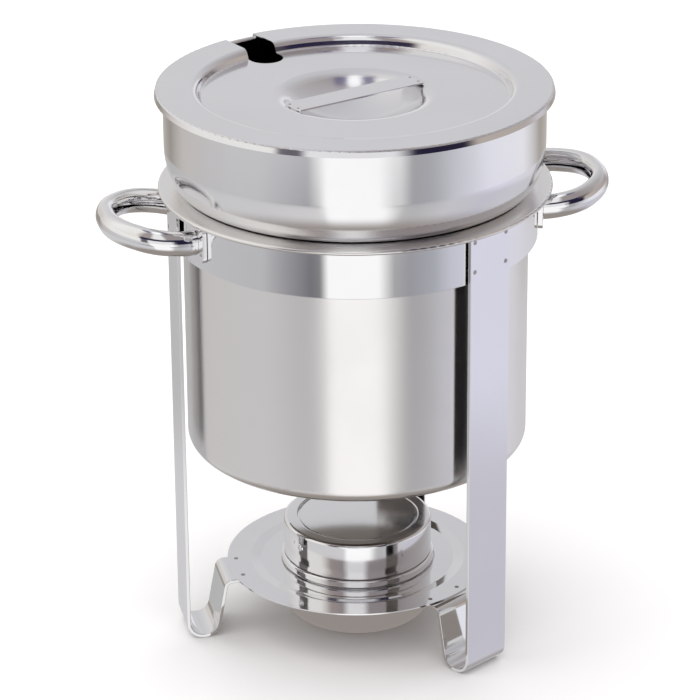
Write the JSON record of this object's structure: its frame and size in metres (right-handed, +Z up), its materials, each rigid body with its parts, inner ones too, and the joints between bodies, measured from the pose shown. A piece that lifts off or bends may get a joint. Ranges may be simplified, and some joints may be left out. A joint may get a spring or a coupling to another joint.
{
  "type": "soup kettle",
  "caption": "Round soup kettle: lidded food pan in a water pan, on a three-legged stand with loop handles over a lift-out fuel burner.",
  "frame": {"origin": "on the ground under the kettle's axis, at the centre of its bottom", "axes": "+Z up; +X through the right handle, away from the leg under the left handle; +Y towards the rear"},
  "size_m": [0.3172, 0.24, 0.352],
  "materials": {
    "polished_steel": "mirror-polished stainless steel",
    "satin_steel": "satin stainless steel, brushed round the axis",
    "lid_steel": "soft-polished stainless steel",
    "weld_steel": "small darkened spot welds"
  },
  "bodies": {
    "stand": {"stand_band": "polished_steel", "leg_left": "polished_steel", "leg_front": "polished_steel", "leg_back": "polished_steel", "leg_spot_welds": "weld_steel", "burner_plate": "polished_steel", "plate_spot_welds": "weld_steel", "left_handle": "polished_steel", "right_handle": "polished_steel", "left_handle_front_tab": "polished_steel", "left_handle_back_tab": "polished_steel", "right_handle_front_tab": "polished_steel", "right_handle_back_tab": "polished_steel", "tab_spot_welds": "weld_steel"},
    "water_pan": {"water_pan": "satin_steel"},
    "food_pan": {"food_pan": "polished_steel"},
    "lid": {"lid": "lid_steel", "lid_strap": "lid_steel", "strap_spot_welds": "weld_steel"},
    "burner": {"burner_cup": "polished_steel", "burner_collar": "polished_steel", "burner_rivets": "polished_steel"},
    "burner_cover": {"burner_cover": "polished_steel"}
  },
  "joints": [
    {"name": "water_pan_lift", "type": "slide", "parent": "stand", "child": "water_pan", "axis": [0, 0, 1], "range_m": [0, 0.18]},
    {"name": "food_pan_lift", "type": "slide", "parent": "water_pan", "child": "food_pan", "axis": [0, 0, 1], "range_m": [0, 0.16]},
    {"name": "lid_lift", "type": "slide", "parent": "food_pan", "child": "lid", "axis": [0, 0, 1], "range_m": [0, 0.06]},
    {"name": "burner_lift", "type": "slide", "parent": "stand", "child": "burner", "axis": [0, 0, 1], "range_m": [0, 0.045]},
    {"name": "burner_cover_lift", "type": "slide", "parent": "burner", "child": "burner_cover", "axis": [0, 0, 1], "range_m": [0, 0.045]}
  ]
}
